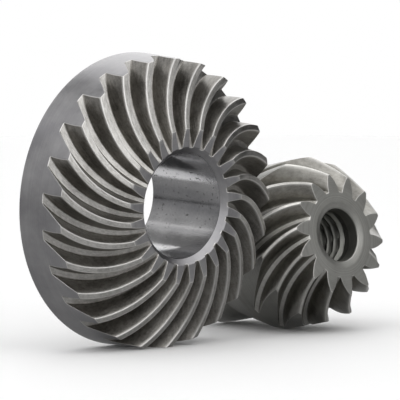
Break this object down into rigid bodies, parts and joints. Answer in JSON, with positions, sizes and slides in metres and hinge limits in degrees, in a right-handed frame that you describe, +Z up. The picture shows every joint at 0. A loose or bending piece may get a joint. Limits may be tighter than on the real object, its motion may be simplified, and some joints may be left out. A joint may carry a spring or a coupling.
{
  "type": "bevel gear pair",
  "caption": "Spiral bevel gear pair: a bored ring gear with curved teeth beside its smaller pinion, which has a tapped bore and a stepped hub.",
  "frame": {"origin": "on the floor, under the middle of the pair's box", "axes": "+Z up; +Y from the ring gear towards the pinion; +X the way both toothed ends face"},
  "size_m": [0.0274, 0.0614, 0.0388],
  "materials": {
    "ring_steel": "machined steel, turned faces and milled tooth flanks, light oil",
    "pinion_steel": "machined steel, slightly darker, turned toe face and milled tooth flanks"
  },
  "bodies": {
    "ring": {"ring_gear": "ring_steel"},
    "pinion": {"pinion": "pinion_steel"}
  },
  "joints": [
    {"name": "pinion_spin", "type": "hinge", "parent": "ring", "child": "pinion", "pos_m": [-0.00014, 0.01941, 0.01104], "axis": [0.9803, 0, 0.1977], "continuous": true}
  ]
}
